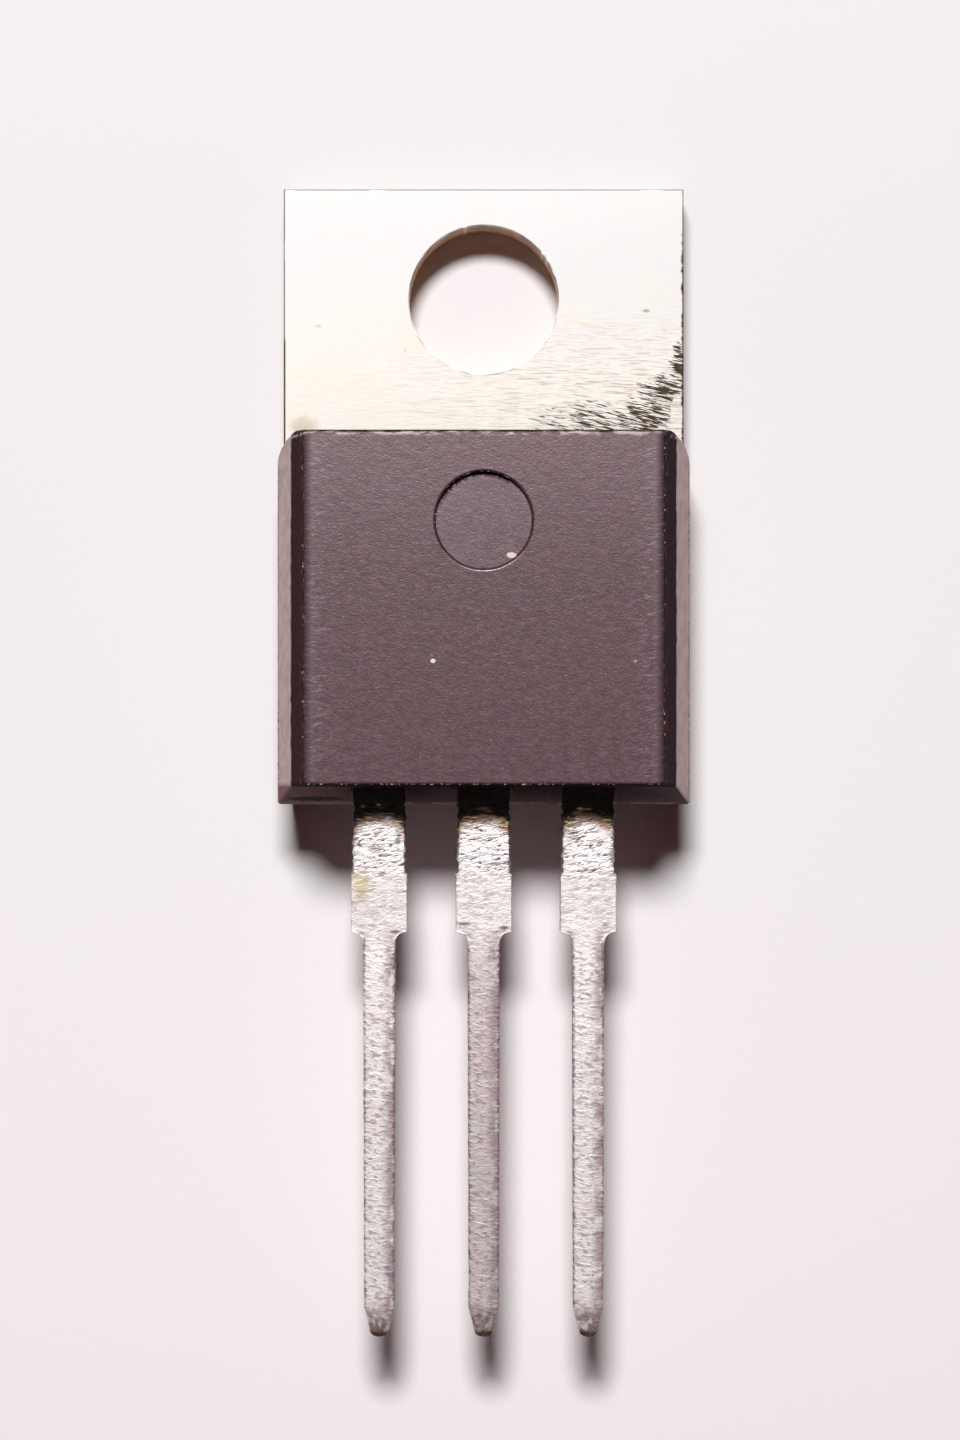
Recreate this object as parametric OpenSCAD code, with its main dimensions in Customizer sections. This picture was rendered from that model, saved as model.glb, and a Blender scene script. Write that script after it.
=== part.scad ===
// Three-lead voltage regulator in a plastic power package with a metal mounting tab.
// Lying on its back: the tab's back face is z = 0, the moulding's face looks up,
// the free end of the tab is towards +Y and the leads run towards -Y.
// The origin is the centre of the mounting hole on the back face.

/* [Tab] */
// Width of the tab
tab_w = 9.9; // [9.4:0.05:10.4]
// Thickness of the tab and of the plate that carries the die
plate_t = 1.27; // [1.1:0.01:1.4]
// Diameter of the mounting hole
hole_d = 3.7; // [3.5:0.05:4.1]
// Distance from the hole centre to the free end of the tab
hole_to_end = 2.74; // [2.5:0.02:3.1]

/* [Plate under the moulding] */
// Width of the moulding beside the plate at the back face
side_wall = 0.73; // [0.6:0.01:1.2]
// Distance from the moulding's lead end to the plate's inner end
pad_end_in = 2.46; // [2.3:0.02:2.8]
// How far each long edge leans out from back to front, so that the moulding grips it
edge_lean = 0.25; // [0.1:0.01:0.4]
// Length of full tab width that is buried in the moulding
tab_buried = 0.12; // [0.05:0.01:0.3]
// Width of the vee groove across the plate
groove_w = 0.5; // [0.3:0.02:0.7]
// Depth of the vee groove
groove_depth = 0.25; // [0.1:0.01:0.35]
// Distance from the moulding's edge to the middle of the vee groove
groove_in = 0.9; // [0.7:0.02:1.1]

/* [Moulding] */
// How far the moulding stands out past each side of the tab
body_proud = 0.09; // [0.02:0.01:0.2]
// Length at the parting plane
body_l = 9.1; // [8.9:0.02:9.5]
// Distance from the hole centre to the moulding at the parting plane
hole_to_body = 3.36; // [3.2:0.01:3.5]
// Height of the top face above the back face
body_h = 4.5; // [4.3:0.01:4.8]
// Draft of the half behind the parting plane, in degrees
back_draft = 5; // [2:0.5:7]
// Width in plan of the sloped shoulder along each side
shoulder_side = 0.37; // [0.2:0.01:0.5]
// Width in plan of the sloped shoulder over the leads
shoulder_end = 0.46; // [0.3:0.01:0.6]
// Height of the shoulder above the parting plane
shoulder_h = 0.78; // [0.6:0.01:0.95]
// Draft of the block's sides above the shoulder, in degrees
side_draft = 15.9; // [8:0.1:20]
// Draft of the two end walls, in degrees
end_draft = 3; // [1:0.5:5]
// Corner radius in plan beside the tab
corner_r = 0.85; // [0.5:0.05:1.2]

/* [Ejector dimple] */
// Diameter of the round dimple at the top face
dimple_d = 2.35; // [1.8:0.05:2.8]
// Depth of the dimple
dimple_depth = 0.16; // [0.08:0.01:0.25]
// Distance from the moulding's tab end to the dimple's centre
dimple_in = 2.27; // [1.8:0.01:3]
// Draft of the dimple's wall, in degrees
dimple_draft = 10; // [0:1:30]

/* [Leads] */
// Spacing of the leads
pitch = 2.54; // [2.44:0.01:2.64]
// Thickness of the leads
lead_t = 0.5; // [0.4:0.01:0.56]
// Height of the leads' back face above the tab's back face
lead_z = 2.42; // [2.2:0.01:2.6]
// Width where a lead leaves the moulding
root_w = 1.27; // [1.15:0.01:1.33]
// Length from the moulding to the cut-off bar's stub
root_l = 1.68; // [1.4:0.02:2]
// Width across the cut-off bar's stub
stub_w = 1.38; // [1.34:0.01:1.5]
// Length of the stub
stub_l = 1.4; // [1:0.02:1.8]
// Width of the thin part next to the stub
lead_w = 0.79; // [0.7:0.01:0.88]
// Width of the thin part where the tip begins
lead_end_w = 0.745; // [0.64:0.005:0.8]
// Length of a lead from the moulding to its tip
lead_l = 12.94; // [11.5:0.05:14.2]
// Length of the pinched tip
tip_l = 0.73; // [0.5:0.01:1]
// Width of the tip's end
tip_w = 0.4; // [0.3:0.01:0.5]
// Thickness of the tip's end
tip_t = 0.3; // [0.2:0.01:0.4]
// Radius of the tip's corners
tip_r = 0.12; // [0.05:0.01:0.14]

/* [Lead exits] */
// Gap between a lead's edge and the pocket in the shoulder above it
pocket_gap = 0.045; // [0.02:0.005:0.1]
// Distance from the pocket's back wall to the foot of the block's end wall
pocket_in = 0.03; // [0.01:0.01:0.1]

/* [Centre lead joggle] */
// Angle of the joggle, in degrees
joggle_angle = 60; // [50:1:70]
// Inner radius of its two bends
bend_r = 0.3; // [0.2:0.02:0.4]
// Flat length between the plate and the first bend
joggle_flat = 0.15; // [0.1:0.01:0.25]

/* [Bonding posts] */
// Gap between the centre lead and each post
post_gap = 0.65; // [0.5:0.01:0.8]
// Width of moulding outside each post
post_cover = 1.06; // [0.9:0.01:1.3]
// Length of a post
post_l = 1.25; // [1.1:0.01:1.4]
// Length of narrow lead between a post and the moulding's edge
neck_l = 0.9; // [0.6:0.01:1.1]
// Size of the cut corners of a post
post_chamfer = 0.25; // [0.1:0.01:0.35]
// Depth of the vee notch that keys a post into the moulding
notch_depth = 0.25; // [0.1:0.01:0.35]

/* [Die] */
// Width of the silicon die
die_w = 2.3; // [1.8:0.02:2.7]
// Length of the silicon die
die_l = 2; // [1.7:0.02:2.4]
// Thickness of the silicon die
die_t = 0.28; // [0.2:0.01:0.36]
// Distance from the plate's inner end to the die
die_in = 1.6; // [1.5:0.02:1.8]
// Thickness of the solder under the die
solder_t = 0.05; // [0.03:0.005:0.08]
// Width of the solder fillet around the die
solder_rim = 0.15; // [0.05:0.01:0.25]

/* [Bond wires] */
// Diameter of the bond wires
wire_d = 0.25; // [0.15:0.01:0.3]
// Length of the flattened foot at each end of a wire
foot_l = 0.6; // [0.5:0.01:0.65]
// Width of a foot
foot_w = 0.34; // [0.32:0.01:0.4]
// Thickness of a foot
foot_t = 0.12; // [0.08:0.01:0.14]
// Distance from a die edge to the bonds beside it
bond_in = 0.4; // [0.3:0.01:0.5]
// Distance from a post's inner edge to the bonds on it
post_bond_in = 0.5; // [0.42:0.01:0.6]
// Spacing of the two bonds on the output post
bond_spacing = 0.9; // [0.6:0.01:1]
// Height of a post wire's loop above the line between its ends
loop_h = 0.9; // [0.8:0.01:1]
// Height of the ground wire's loop above the line between its ends
ground_loop_h = 0.5; // [0.4:0.01:0.6]
// Distance from the plate's inner end to the ground wire's bond
ground_bond_in = 0.55; // [0.45:0.01:0.65]

/* [Hidden] */

// Points along a quarter turn, and facets of the round features
ARC_STEPS = 6;
ROUND = 48;
// Length by which a cutting tool passes the surface that it opens
PAST = 1;

// Places along Y, the leads' way being negative
parting_z = lead_z;
body_tab_y = -hole_to_body;
body_lead_y = body_tab_y - body_l;
tab_foot_y = body_tab_y - (parting_z - plate_t) * tan(back_draft);
tab_step_y = tab_foot_y - tab_buried;
pad_end_y = body_lead_y + pad_end_in;
lead_tip_y = body_lead_y - lead_l;

// The moulding's outline at each level
body_w = tab_w + 2 * body_proud;
shoulder_z = parting_z + shoulder_h;
back_in = parting_z * tan(back_draft);
pad_w = body_w - 2 * (back_in + side_wall);
block_h = body_h - shoulder_z;
shoulder_half = body_w / 2 - shoulder_side;
top_half = shoulder_half - block_h * tan(side_draft);
block_lead_y = body_lead_y + shoulder_end;
top_lead_y = block_lead_y + block_h * tan(end_draft);
top_tab_y = body_tab_y - (body_h - parting_z) * tan(end_draft);

// Levels of the leads, the die and the bonds
lead_top_z = lead_z + lead_t;
die_z = plate_t + solder_t;
die_top_z = die_z + die_t;
die_y = pad_end_y + die_in + die_l / 2;

// The bonding posts, named for the side that they face
post_x = root_w / 2 + post_gap;
post_outer_x = body_w / 2 - post_cover;
post_outer_y = body_lead_y + neck_l;
post_inner_y = post_outer_y + post_l;
post_bond_y = post_inner_y - post_bond_in;

// The bonds on the die, the posts and the plate
die_bond_x = die_w / 2 - bond_in;
die_bond_y = die_y - die_l / 2 + bond_in;
sense_bond_y = die_y + die_l / 2 - 2 * bond_in;
post_bond_x = post_x + post_bond_in;
ground_bond_y = pad_end_y + ground_bond_in;

// Points on an arc about a centre, from angle a0 to angle a1
function arc(centre, r, a0, a1) =
    [for (i = [0 : ARC_STEPS])
        let (a = a0 + (a1 - a0) * i / ARC_STEPS)
        centre + r * [cos(a), sin(a)]];

// The points of one side followed by their mirror image, for an outline symmetric about x = 0
function both_sides(side) =
    concat(side, [for (i = [len(side) - 1 : -1 : 0]) [-side[i].x, side[i].y]]);

// A profile of x and z, carried along Y from y0 to y1
module along_y(y0, y1) {
    translate([0, y1, 0])
        rotate([90, 0, 0])
            linear_extrude(y1 - y0)
                children();
}

// A profile of y and z, carried along X and centred on x = 0
module along_x(width) {
    rotate([90, 0, 90])
        linear_extrude(width, center = true)
            children();
}

// Width of a lead at each place along it, from y_in inside the moulding to its tip
module lead_outline(y_in) {
    step_y = body_lead_y - root_l;
    stub_y = step_y - stub_l;
    fillet_r = (stub_w - lead_w) / 2;
    side = concat(
        [[root_w / 2, y_in], [root_w / 2, step_y], [stub_w / 2, step_y]],
        arc([stub_w / 2, stub_y - fillet_r], fillet_r, 90, 180),
        [[lead_end_w / 2, lead_tip_y + tip_l]],
        arc([tip_w / 2 - tip_r, lead_tip_y + tip_r], tip_r, 0, -90)
    );
    polygon(both_sides(side));
}

// Thickness of a straight lead along its length, with the pinched tip
module lead_side(y_in) {
    mid_z = lead_z + lead_t / 2;
    polygon([
        [y_in, lead_z],
        [lead_tip_y + tip_l, lead_z],
        [lead_tip_y, mid_z - tip_t / 2],
        [lead_tip_y, mid_z + tip_t / 2],
        [lead_tip_y + tip_l, lead_top_z],
        [y_in, lead_top_z]
    ]);
}

// A straight stamped lead on x = 0
module straight_lead(y_in) {
    intersection() {
        translate([0, 0, lead_z - PAST])
            linear_extrude(lead_t + 2 * PAST)
                lead_outline(y_in);
        along_x(stub_w + 2 * PAST)
            lead_side(y_in);
    }
}

// The centre lead's two bends, from the plate's end up to the level of the leads
module joggle(y_out) {
    low_z = plate_t - lead_t;
    mid_r = bend_r + lead_t / 2;
    rise = lead_z - low_z;
    slope_l = (rise - 2 * mid_r * (1 - cos(joggle_angle))) / sin(joggle_angle);
    run = 2 * mid_r * sin(joggle_angle) + slope_l * cos(joggle_angle);
    first_y = pad_end_y - joggle_flat;
    low_centre = [first_y, plate_t + bend_r];
    high_centre = [first_y - run, lead_z - bend_r];
    along_x(root_w)
        polygon(concat(
            [[pad_end_y + PAST / 2, low_z]],
            arc(low_centre, bend_r + lead_t, -90, -90 - joggle_angle),
            arc(high_centre, bend_r, 90 - joggle_angle, 90),
            [[y_out, lead_z], [y_out, lead_top_z]],
            arc(high_centre, bend_r + lead_t, 90, 90 - joggle_angle),
            arc(low_centre, bend_r, -90 - joggle_angle, -90),
            [[pad_end_y + PAST / 2, plate_t]]
        ));
}

// One bonding post and its neck, on the side of positive x
module post_outline() {
    mid_y = (post_inner_y + post_outer_y) / 2;
    polygon([
        [post_x, post_outer_y],
        [post_x, post_inner_y - post_chamfer],
        [post_x + post_chamfer, post_inner_y],
        [post_outer_x - post_chamfer, post_inner_y],
        [post_outer_x, post_inner_y - post_chamfer],
        [post_outer_x, mid_y + notch_depth],
        [post_outer_x - notch_depth, mid_y],
        [post_outer_x, mid_y - notch_depth],
        [post_outer_x, post_outer_y]
    ]);
}

// The lead on the side of positive x, with its post
module outer_lead() {
    translate([pitch, 0, 0])
        straight_lead(post_outer_y);
    translate([0, 0, lead_z])
        linear_extrude(lead_t)
            post_outline();
}

// A bond wire from p0 to p1: a round loop cut off by the two surfaces that it lands on,
// with a flattened foot at each end
module bond_wire(p0, p1, rise) {
    span = norm([p1.x - p0.x, p1.y - p0.y]);
    z0 = p0.z + foot_t / 2;
    z1 = p1.z + foot_t / 2;
    chord = norm([span, z1 - z0]);
    loop_r = (chord * chord / 4 + rise * rise) / (2 * rise);
    up = [z0 - z1, span] / chord;
    centre = [span, z0 + z1] / 2 - up * (loop_r - rise);
    clear_z = max(z0, z1) + loop_r;
    translate([p0.x, p0.y, 0])
        rotate([0, 0, atan2(p1.y - p0.y, p1.x - p0.x)]) {
            intersection() {
                translate([centre.x, 0, centre.y])
                    rotate([90, 0, 0])
                        rotate_extrude($fn = ROUND)
                            translate([loop_r, 0])
                                circle(d = wire_d, $fn = ROUND / 2);
                along_y(-wire_d, wire_d)
                    polygon([
                        [-loop_r, z0], [span / 2, z0], [span / 2, z1],
                        [span + loop_r, z1], [span + loop_r, clear_z], [-loop_r, clear_z]
                    ]);
            }
            translate([wire_d * 0.6 - foot_l, -foot_w / 2, p0.z])
                cube([foot_l, foot_w, foot_t]);
            translate([span - wire_d, -foot_w / 2, p1.z])
                cube([foot_l, foot_w, foot_t]);
        }
}

// The moulding's outside, its ejector dimple and the pockets over the leads, still solid inside
module moulding_form() {
    difference() {
        intersection() {
            along_y(body_lead_y - PAST, body_tab_y + PAST)
                polygon(both_sides([
                    [body_w / 2 - back_in, 0],
                    [body_w / 2, parting_z],
                    [shoulder_half, shoulder_z],
                    [top_half, body_h]
                ]));
            along_x(body_w + 2 * PAST)
                polygon([
                    [body_lead_y + back_in, 0],
                    [body_tab_y - back_in, 0],
                    [body_tab_y, parting_z],
                    [top_tab_y, body_h],
                    [top_lead_y, body_h],
                    [block_lead_y, shoulder_z],
                    [body_lead_y, parting_z]
                ]);
            translate([0, 0, -PAST])
                linear_extrude(body_h + 2 * PAST)
                    polygon(both_sides(concat(
                        [[body_w / 2 + PAST, body_lead_y - PAST], [body_w / 2 + PAST, body_tab_y - corner_r],
                         [body_w / 2, body_tab_y - corner_r]],
                        arc([body_w / 2 - corner_r, body_tab_y - corner_r], corner_r, 0, 90)
                    )));
        }
        translate([0, body_tab_y - dimple_in, body_h - dimple_depth])
            cylinder(h = dimple_depth * 2,
                     d1 = dimple_d - 2 * dimple_depth * tan(dimple_draft),
                     d2 = dimple_d + 2 * dimple_depth * tan(dimple_draft), $fn = ROUND);
        for (side = [-1 : 1])
            translate([side * pitch - root_w / 2 - pocket_gap, body_lead_y - PAST, lead_top_z])
                cube([root_w + 2 * pocket_gap, shoulder_end - pocket_in + PAST, shoulder_h]);
    }
}

// Tab, plate and centre lead, stamped from one strip of two thicknesses
module heat_sink_frame() {
    color("silver") {
        difference() {
            union() {
                translate([-tab_w / 2, tab_step_y, 0])
                    cube([tab_w, hole_to_end - tab_step_y, plate_t]);
                along_y(pad_end_y, tab_step_y)
                    polygon(both_sides([[pad_w / 2, 0], [pad_w / 2 + edge_lean, plate_t]]));
            }
            translate([0, 0, -PAST])
                cylinder(h = plate_t + 2 * PAST, d = hole_d, $fn = ROUND);
            along_x(tab_w + 2 * PAST)
                translate([body_tab_y - groove_in, plate_t])
                    polygon([[-groove_w / 2, 0], [0, -groove_depth], [groove_w / 2, 0],
                             [groove_w / 2, PAST], [-groove_w / 2, PAST]]);
        }
        joggle(body_lead_y);
        straight_lead(body_lead_y);
    }
}

module input_lead() {
    color("gainsboro")
        mirror([1, 0, 0])
            outer_lead();
}

module output_lead() {
    color("gainsboro")
        outer_lead();
}

// Solder layer with a sloped rim all round
module die_solder() {
    color("slategray")
        intersection() {
            along_y(die_y - die_l, die_y + die_l)
                polygon(both_sides([[die_w / 2 + solder_rim, plate_t], [die_w / 2, die_z]]));
            along_x(2 * die_w)
                translate([die_y, 0])
                    polygon(both_sides([[die_l / 2 + solder_rim, plate_t], [die_l / 2, die_z]]));
        }
}

module silicon_die() {
    color("dimgray")
        translate([-die_w / 2, die_y - die_l / 2, die_z])
            cube([die_w, die_l, die_t]);
}

module input_wire() {
    color("whitesmoke")
        bond_wire([-die_bond_x, die_bond_y, die_top_z],
                  [-post_bond_x, post_bond_y, lead_top_z], loop_h);
}

module output_wire() {
    color("whitesmoke")
        bond_wire([die_bond_x, die_bond_y, die_top_z],
                  [post_bond_x, post_bond_y, lead_top_z], loop_h);
}

module sense_wire() {
    color("whitesmoke")
        bond_wire([die_bond_x, sense_bond_y, die_top_z],
                  [post_bond_x + bond_spacing, post_bond_y, lead_top_z], loop_h);
}

module ground_wire() {
    color("whitesmoke")
        bond_wire([0, die_bond_y, die_top_z],
                  [0, ground_bond_y, plate_t], ground_loop_h);
}

// Black moulding compound, which fills every space around the metal
module moulded_body() {
    color("#3b3135")
        difference() {
            moulding_form();
            heat_sink_frame();
            input_lead();
            output_lead();
            die_solder();
            silicon_die();
            input_wire();
            output_wire();
            sense_wire();
            ground_wire();
        }
}

heat_sink_frame();
input_lead();
output_lead();
die_solder();
silicon_die();
input_wire();
output_wire();
sense_wire();
ground_wire();
moulded_body();
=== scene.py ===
"""Looks of a three-lead voltage regulator that lies on its back on pale card.

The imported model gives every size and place. This script dresses it: the moulding and the metal
are worked over as real solids with broken edges, the leads get a solder-dipped skin, and each
surface gets a procedural finish. Sizes are in millimetres unless a name says otherwise.
"""

import logging
import math
from collections.abc import Callable
from dataclasses import dataclass, field
from enum import Enum
from functools import cached_property, partial, reduce

import bmesh
import bpy
from bmesh.types import BMEdge, BMesh
from bpy.types import Material, Mesh, NodeSocket as Socket, NodeTree, Object
from mathutils import Matrix, Vector, noise

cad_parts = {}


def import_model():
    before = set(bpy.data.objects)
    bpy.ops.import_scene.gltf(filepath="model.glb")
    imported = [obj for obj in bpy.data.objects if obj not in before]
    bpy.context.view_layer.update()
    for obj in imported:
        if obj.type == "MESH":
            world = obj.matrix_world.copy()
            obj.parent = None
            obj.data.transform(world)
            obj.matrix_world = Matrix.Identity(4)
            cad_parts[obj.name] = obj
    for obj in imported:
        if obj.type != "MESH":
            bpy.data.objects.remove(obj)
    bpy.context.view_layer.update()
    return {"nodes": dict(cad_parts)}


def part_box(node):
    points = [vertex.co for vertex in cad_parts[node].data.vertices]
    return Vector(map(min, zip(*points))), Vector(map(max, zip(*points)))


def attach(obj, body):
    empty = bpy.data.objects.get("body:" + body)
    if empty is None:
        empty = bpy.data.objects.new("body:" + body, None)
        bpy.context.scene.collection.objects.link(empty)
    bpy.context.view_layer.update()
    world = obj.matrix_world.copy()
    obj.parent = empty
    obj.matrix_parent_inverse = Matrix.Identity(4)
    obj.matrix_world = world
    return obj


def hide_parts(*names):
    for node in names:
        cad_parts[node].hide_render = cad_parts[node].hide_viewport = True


LOG = logging.getLogger("regulator")

MM = 0.001
ROOT = "root"
SAME_POINT = 1e-7
SAME_PLANE = math.radians(0.5)
FLAT_EDGE = math.radians(3)
MIX_UNDER, MIX_OVER, MIX_RESULT = 6, 7, 2
RANDOM_BOOLEAN = 3


class Node(Enum):
    """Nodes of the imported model."""

    FRAME = "heat_sink_frame"
    INPUT_LEAD = "input_lead"
    OUTPUT_LEAD = "output_lead"
    SOLDER = "die_solder"
    DIE = "silicon_die"
    INPUT_WIRE = "input_wire"
    OUTPUT_WIRE = "output_wire"
    SENSE_WIRE = "sense_wire"
    GROUND_WIRE = "ground_wire"
    BODY = "moulded_body"


class Slot(Enum):
    """Material slots of the record."""

    PLATE = "tinned_copper_plate"
    LEAD = "tinned_copper_lead"
    MOULDING = "moulding_compound"


# Colours, nodes and meshes


def linear(hex_colour: str) -> tuple[float, float, float, float]:
    """Turns an sRGB hex colour to linear.

    Args:
        hex_colour: Six hex digits after a hash, such as "#a0b0c0".

    Returns:
        Red, green, blue and an alpha of 1.
    """
    parts = [int(hex_colour[i:i + 2], 16) / 255 for i in (1, 3, 5)]
    red, green, blue = (p / 12.92 if p <= 0.04045 else ((p + 0.055) / 1.055) ** 2.4 for p in parts)
    return red, green, blue, 1.0


def add_node(
    tree: NodeTree, kind: str, props: dict | None = None, values: dict | None = None,
    links: dict | None = None,
) -> bpy.types.Node:
    """Adds a node with its settings and links.

    Args:
        tree: The node tree.
        kind: The node's type name.
        props: Attributes of the node to set.
        values: Plain values by input name or number.
        links: Output sockets by input name or number.

    Returns:
        The new node.
    """
    node = tree.nodes.new(kind)
    for name, value in (props or {}).items():
        setattr(node, name, value)
    for key, value in (values or {}).items():
        node.inputs[key].default_value = value
    for key, socket in (links or {}).items():
        tree.links.new(socket, node.inputs[key])
    return node


def new_object(name: str, mesh: Mesh) -> Object:
    """Puts a mesh in the scene as an object at the origin."""
    obj = bpy.data.objects.new(name, mesh)
    bpy.context.scene.collection.objects.link(obj)
    return obj


def settle(obj: Object, flat_faces: bool = False) -> None:
    """Turns an object's modifiers into plain mesh.

    Args:
        obj: The object.
        flat_faces: Whether its wide faces set the shading of the strips beside them.
    """
    if flat_faces:
        weighted = obj.modifiers.new("normals", "WEIGHTED_NORMAL")
        weighted.keep_sharp = True
        weighted.weight = 100
    graph = bpy.context.evaluated_depsgraph_get()
    mesh = bpy.data.meshes.new_from_object(obj.evaluated_get(graph), depsgraph=graph)
    obj.modifiers.clear()
    obj.data = mesh
    mesh.name = obj.name


def finish_piece(
    obj: Object, nodes: tuple[Node, ...] = (), material: Material | None = None
) -> None:
    """Gives a piece its body and the nodes that it stands for.

    Args:
        obj: The piece.
        nodes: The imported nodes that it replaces.
        material: Its finish, if it has no other yet.
    """
    if material:
        obj.data.materials.clear()
        obj.data.materials.append(material)
    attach(obj, ROOT)
    if nodes:
        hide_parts(*[n.value for n in nodes])
    LOG.info("%s: %d faces", obj.name, len(obj.data.polygons))


def solid_mesh(name: str, bm: BMesh, sharp_from: float = 35.0) -> Mesh:
    """Turns a solid to a smoothly shaded mesh, with its edges above an angle in degrees kept sharp."""
    for face in bm.faces:
        face.smooth = True
    for edge in bm.edges:
        edge.smooth = len(edge.link_faces) == 2 and edge.calc_face_angle(0) < math.radians(sharp_from)
    mesh = bpy.data.meshes.new(name)
    bm.to_mesh(mesh)
    bm.free()
    return mesh


def trim_to(obj: Object, box: tuple[Vector, Vector]) -> None:
    """Moves the few points that rounding left outside a box back on to it."""
    low, high = box
    for vert in obj.data.vertices:
        vert.co = [min(max(c, a), b) for c, a, b in zip(vert.co, low, high)]


def packed_copy(node: Node) -> BMesh:
    """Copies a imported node's mesh with its triangles joined into flat faces.

    Args:
        node: The node.

    Returns:
        The merged copy, in metres.
    """
    bm = bmesh.new()
    bm.from_mesh(bpy.data.objects[node.value].data)
    bmesh.ops.remove_doubles(bm, verts=bm.verts, dist=SAME_POINT)
    bmesh.ops.dissolve_limit(
        bm, angle_limit=SAME_PLANE, verts=bm.verts, edges=bm.edges, delimit={"NORMAL"}
    )
    return bm


def wander(point: Vector, period: float, seed: float) -> float:
    """Smooth noise from -1 to 1 at a point, both in metres."""
    return noise.noise(point / period + Vector((seed, seed * 0.7, seed * 1.3)))


def rise(value: float, start: float, length: float) -> float:
    """How far a value has come on its way of a given length from a start, from 0 to 1."""
    return min(max((value - start) / length, 0.0), 1.0)


@dataclass(frozen=True)
class EdgeWear:
    """How a solid's edges are broken.

    Attributes:
        width: Width of the broken edge.
        pitch: Length of the steps along it.
        depth: How far it wanders.
        period: Length of one wander.
        seed: Which wander it is.
    """

    width: float
    pitch: float
    depth: float
    period: float
    seed: float

    def break_edges(self, bm: BMesh, chosen: Callable[[Vector, Vector], bool]) -> None:
        """Rounds the chosen edges of a solid and lets them wander.

        Args:
            bm: The solid, in metres.
            chosen: Says from an edge's two ends, in millimetres, whether it is broken.
        """
        edges = [
            e for e in bm.edges
            if len(e.link_faces) == 2
            and e.calc_face_angle(0) > FLAT_EDGE
            and chosen(e.verts[0].co / MM, e.verts[1].co / MM)
        ]
        short = []
        for edge in edges:
            cuts = int(edge.calc_length() / (self.pitch * MM))
            if cuts < 1:
                short.append(edge)
                continue
            split = bmesh.ops.bisect_edges(bm, edges=[edge], cuts=cuts)
            short += [g for g in split["geom_split"] if isinstance(g, BMEdge)]
        made = bmesh.ops.bevel(
            bm, geom=list(set(short)), offset=self.width * MM, offset_type="OFFSET", segments=2,
            profile=0.5, affect="EDGES", clamp_overlap=True,
        )
        strip = set(made["faces"])
        bm.normal_update()
        moves = []
        for vert in made["verts"]:
            if not vert.is_valid:
                continue
            depth = self.depth * MM * (0.5 + 0.5 * wander(vert.co, self.period * MM, self.seed))
            move = -vert.normal * depth
            for face in vert.link_faces:
                if face not in strip:
                    move -= face.normal * move.dot(face.normal)
            moves.append((vert, move))
        for vert, move in moves:
            vert.co += move


# Sizes


@dataclass(frozen=True)
class PackageForm:
    """Sizes of the package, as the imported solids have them, in millimetres."""

    plate_t: float = 1.27
    hole_r: float = 1.85
    tab_step_y: float = -3.5806
    body_half: float = 5.04
    body_h: float = 4.5
    body_tab_y: float = -3.36
    body_lead_y: float = -12.46
    parting_z: float = 2.42
    shoulder_z: float = 3.2
    shoulder_half: float = 4.67
    block_lead_y: float = -12.0
    back_draft: float = 5.0
    side_draft: float = 15.9
    end_draft: float = 3.0
    dimple_r: float = 1.175
    dimple_y: float = -5.63

    def wall(self, z: float, widest: float, shoulder: float, draft: float) -> float:
        """How far out a wall with a shoulder stands at a height.

        Args:
            z: The height.
            widest: Its reach at the parting plane.
            shoulder: Its reach at the top of the shoulder.
            draft: Its lean above the shoulder, in degrees.

        Returns:
            The reach from the origin.
        """
        if z <= self.parting_z:
            return widest - (self.parting_z - z) * math.tan(math.radians(self.back_draft))
        if z <= self.shoulder_z:
            share = (z - self.parting_z) / (self.shoulder_z - self.parting_z)
            return widest + share * (shoulder - widest)
        return shoulder - (z - self.shoulder_z) * math.tan(math.radians(draft))

    def half_width(self, z: float) -> float:
        """Half width of the moulding at a height."""
        return self.wall(z, self.body_half, self.shoulder_half, self.side_draft)

    def lead_end(self, z: float) -> float:
        """Y of the moulding's lead end at a height."""
        return -self.wall(z, -self.body_lead_y, -self.block_lead_y, self.end_draft)

    def tab_end(self, z: float) -> float:
        """Y of the moulding's tab end at a height."""
        draft = self.back_draft if z <= self.parting_z else self.end_draft
        return self.body_tab_y - abs(z - self.parting_z) * math.tan(math.radians(draft))


@dataclass(frozen=True)
class LeadForm:
    """Sizes of a straight lead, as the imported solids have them, in millimetres."""

    pitch: float = 2.54
    thick: float = 0.5
    low_z: float = 2.42
    root_w: float = 1.27
    stub_w: float = 1.38
    thin_w: float = 0.79
    end_w: float = 0.745
    tip_w: float = 0.4
    tip_t: float = 0.3
    tip_r: float = 0.12
    exit_y: float = -12.46
    step_y: float = -14.14
    stub_y: float = -15.54
    taper_y: float = -24.67
    tip_y: float = -25.4

    def half_width(self, y: float) -> float:
        """Half width of the lead at a place along it."""
        fillet_r = (self.stub_w - self.thin_w) / 2
        fillet_y = self.stub_y - fillet_r
        if y > self.step_y:
            return self.root_w / 2
        if y > self.stub_y:
            return self.stub_w / 2
        if y > fillet_y:
            return self.stub_w / 2 - math.sqrt(max(fillet_r**2 - (y - fillet_y) ** 2, 0))
        if y > self.taper_y:
            share = (fillet_y - y) / (fillet_y - self.taper_y)
            return (self.thin_w + share * (self.end_w - self.thin_w)) / 2
        share = (self.taper_y - y) / (self.taper_y - self.tip_y)
        half = (self.end_w + share * (self.tip_w - self.end_w)) / 2
        rise = max(self.tip_y + self.tip_r - y, 0)
        return half - self.tip_r + math.sqrt(max(self.tip_r**2 - rise**2, 0))

    def half_thickness(self, y: float) -> float:
        """Half thickness of the lead at a place along it."""
        share = min(max((self.taper_y - y) / (self.taper_y - self.tip_y), 0), 1)
        return (self.thick + share**1.5 * (self.tip_t - self.thick)) / 2


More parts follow.
